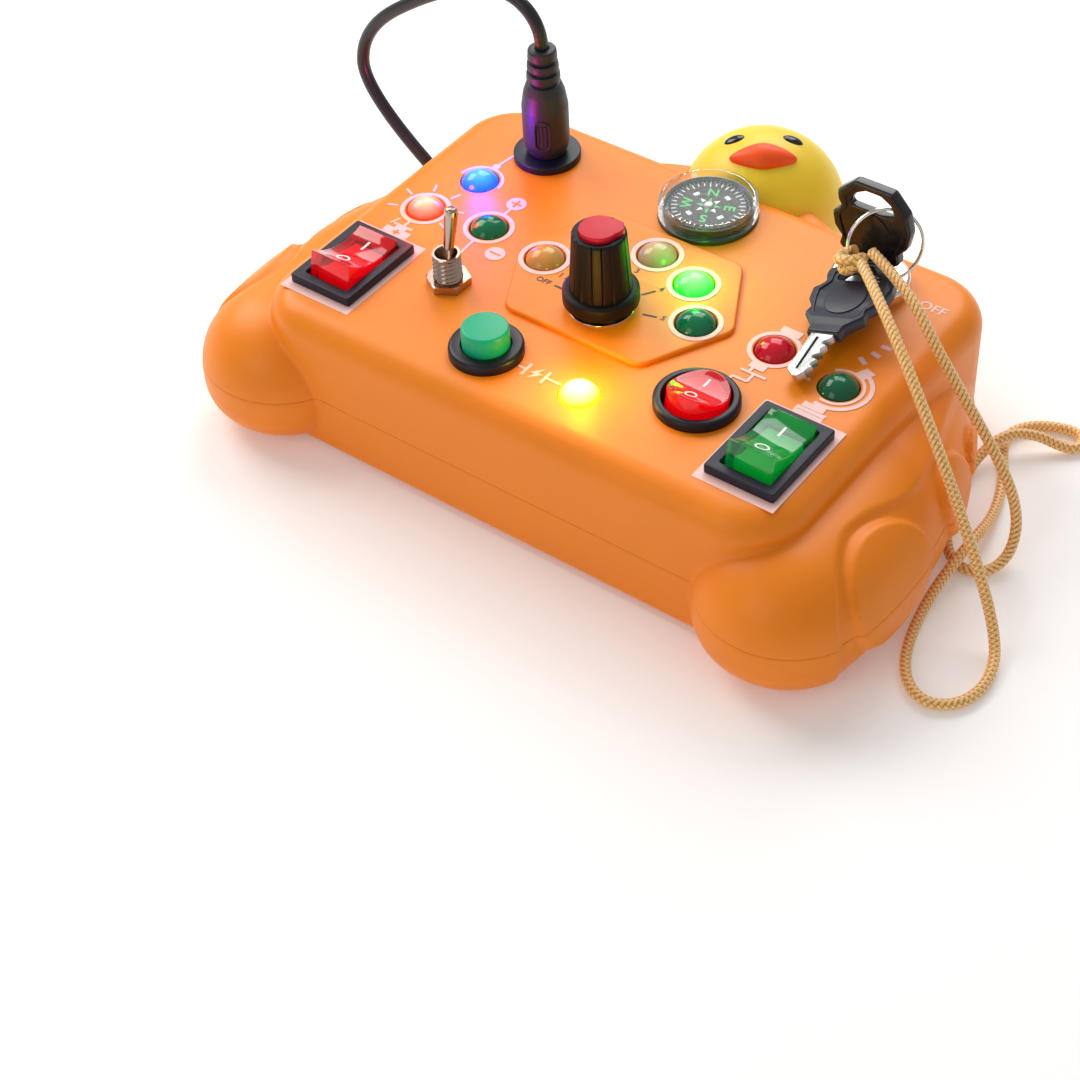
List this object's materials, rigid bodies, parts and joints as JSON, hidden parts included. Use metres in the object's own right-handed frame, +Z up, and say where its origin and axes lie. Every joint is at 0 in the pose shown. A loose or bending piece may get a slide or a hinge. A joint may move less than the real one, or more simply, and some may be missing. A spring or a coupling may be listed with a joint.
{
  "type": "busy board",
  "caption": "Hand-held toy control panel with rocker, toggle and push switches, a dial ringed by lamps, a key lock, a plug on a cable, a compass and a duck's head.",
  "frame": {"origin": "on the table, in the middle of the board's footprint, head included and cords left out", "axes": "+X to the board's right, +Y to its back where the head is, +Z up out of the deck"},
  "size_m": [0.1853, 0.1228, 0.0713],
  "materials": {
    "housing_orange": "moulded orange plastic, satin",
    "door_orange": "moulded orange plastic, satin",
    "screw_steel": "zinc-plated steel",
    "foot_rubber": "matt black rubber",
    "cell_wrap": "printed steel can",
    "contact_steel": "nickel-plated strip",
    "board_green": "solder mask",
    "duck_yellow": "soft yellow plastic",
    "duck_eye_black": "gloss black",
    "beak_orange": "orange-red plastic",
    "compass_green": "dark green plastic",
    "card_black": "printed card",
    "clear_plastic": "clear moulded plastic",
    "switch_black": "black nylon",
    "rocker_red": "translucent red plastic",
    "rocker_green": "translucent green plastic",
    "toggle_chrome": "chrome plate",
    "toggle_case": "plated brass and steel",
    "button_teal": "teal-green plastic",
    "button_ring_black": "blue-black plastic",
    "spring_steel": "spring wire",
    "shaft_steel": "turned steel",
    "knob_black": "black plastic",
    "knob_red": "crimson plastic",
    "socket_black": "black plastic",
    "barrel_nickel": "nickel plate",
    "plug_black": "black moulding",
    "cable_black": "black sheath",
    "lock_chrome": "chrome plate",
    "lock_nickel": "nickel plate",
    "bow_brown": "brown-black plastic",
    "bow_slate": "slate-black plastic",
    "blade_nickel": "nickel-plated steel",
    "ring_steel": "bright steel wire",
    "cord_gold": "braided gold cord",
    "lamp_red": "red lens",
    "lamp_blue": "blue lens",
    "lamp_green": "green lens",
    "lamp_clear": "clear lens",
    "lamp_amber": "amber lens"
  },
  "bodies": {
    "housing": {"battery_cell_1": "cell_wrap", "battery_cell_2": "cell_wrap", "battery_contacts": "contact_steel", "bottom_shell": "housing_orange", "button_body": "button_ring_black", "button_spring": "spring_steel", "cable": "cable_black", "cable_gland": "plug_black", "circuit_board": "board_green", "compass_case": "compass_green", "compass_lens": "clear_plastic", "duck_beak": "beak_orange", "duck_eyes": "duck_eye_black", "duck_head": "duck_yellow", "green_rocker_frame": "switch_black", "housing_screws": "screw_steel", "jack_socket": "socket_black", "lamp_dial_amber": "lamp_amber", "lamp_dial_clear": "lamp_clear", "lamp_dial_dark_green": "lamp_green", "lamp_dial_green": "lamp_green", "lamp_dial_red": "lamp_red", "lamp_left_blue": "lamp_blue", "lamp_left_red": "lamp_red", "lamp_right_green": "lamp_green", "lamp_right_red": "lamp_red", "lamp_toggle_green": "lamp_green", "lamp_yellow": "lamp_amber", "lanyard": "cord_gold", "lock_barrel": "lock_chrome", "panel_nuts": "toggle_chrome", "red_rocker_frame": "switch_black", "rotary_switch_body": "toggle_case", "round_rocker_frame": "switch_black", "rubber_feet": "foot_rubber", "switch_terminals": "contact_steel", "toggle_body": "toggle_case", "toggle_nut": "toggle_chrome", "top_shell": "housing_orange"},
    "battery_door": {"battery_door": "door_orange"},
    "door_screw": {"battery_door_screw": "screw_steel"},
    "compass_card": {"compass_card": "card_black"},
    "red_rocker": {"red_rocker_cap": "rocker_red"},
    "green_rocker": {"green_rocker_cap": "rocker_green"},
    "round_rocker": {"round_rocker_cap": "rocker_red"},
    "toggle": {"toggle_lever": "toggle_chrome"},
    "push_button": {"button_cap": "button_teal"},
    "dial": {"rotary_shaft": "shaft_steel", "knob": "knob_black", "knob_cap": "knob_red"},
    "power_plug": {"dc_plug": "plug_black", "plug_barrel": "barrel_nickel"},
    "lock_cylinder": {"lock_plug": "lock_nickel"},
    "key": {"key_bow": "bow_brown", "key_blade": "blade_nickel"},
    "ring": {"key_ring": "ring_steel", "lanyard_knot": "cord_gold"},
    "spare_key": {"spare_key_bow": "bow_slate", "spare_key_blade": "blade_nickel"}
  },
  "joints": [
    {"name": "red_rocker_tilt", "type": "hinge", "parent": "housing", "child": "red_rocker", "pos_m": [-0.0492, -0.0302, 0.033], "axis": [1, 0, 0], "range_deg": [0, 25]},
    {"name": "green_rocker_tilt", "type": "hinge", "parent": "housing", "child": "green_rocker", "pos_m": [0.0492, -0.0302, 0.033], "axis": [1, 0, 0], "range_deg": [0, 25]},
    {"name": "round_rocker_tilt", "type": "hinge", "parent": "housing", "child": "round_rocker", "pos_m": [0.0305, -0.0259, 0.033], "axis": [1, 0, 0], "range_deg": [0, 25]},
    {"name": "toggle_tilt", "type": "hinge", "parent": "housing", "child": "toggle", "pos_m": [-0.0301, -0.0236, 0.037], "axis": [1, 0, 0], "range_deg": [0, 25]},
    {"name": "button_press", "type": "slide", "parent": "housing", "child": "push_button", "axis": [0, 0, -1], "range_m": [0, 0.0025], "stiffness_N_per_m": 300, "springref_m": -0.001, "deforming": ["button_spring"]},
    {"name": "dial_turn", "type": "hinge", "parent": "housing", "child": "dial", "pos_m": [0, -0.0137, 0.033], "axis": [0, 0, 1], "range_deg": [-24, 140]},
    {"name": "compass_swing", "type": "hinge", "parent": "housing", "child": "compass_card", "pos_m": [0.0004, 0.0228, 0.0347], "axis": [0, 0, 1], "continuous": true},
    {"name": "plug_pull", "type": "slide", "parent": "housing", "child": "power_plug", "axis": [0, 0, 1], "range_m": [0, 0.01], "deforming": ["cable"]},
    {"name": "lock_turn", "type": "hinge", "parent": "housing", "child": "lock_cylinder", "pos_m": [0.0391, 0.0212, 0.033], "axis": [0, 0, 1], "range_deg": [-60, 0], "deforming": ["lanyard"]},
    {"name": "key_pull", "type": "slide", "parent": "lock_cylinder", "child": "key", "axis": [0, 0, 1], "range_m": [0, 0.014], "deforming": ["lanyard"]},
    {"name": "ring_swing", "type": "hinge", "parent": "key", "child": "ring", "pos_m": [0.04283, 0.01957, 0.04557], "axis": [-0.5985, 0.7365, -0.3154], "range_deg": [0, 15], "deforming": ["lanyard"]},
    {"name": "spare_lift", "type": "hinge", "parent": "ring", "child": "spare_key", "pos_m": [0.04104, 0.01564, 0.03981], "axis": [-0.9502, -0.0254, -0.3107], "range_deg": [0, 7.2]},
    {"name": "door_pull", "type": "slide", "parent": "housing", "child": "battery_door", "axis": [0, 0, -1], "range_m": [0, 0.012]},
    {"name": "door_screw_turn", "type": "hinge", "parent": "battery_door", "child": "door_screw", "pos_m": [0, 0.0351, 0.001], "axis": [0, 0, 1], "continuous": true}
  ],
  "couplings": [
    {"joint": "spare_lift", "follows": "lock_turn", "ratio": -0.12}
  ]
}
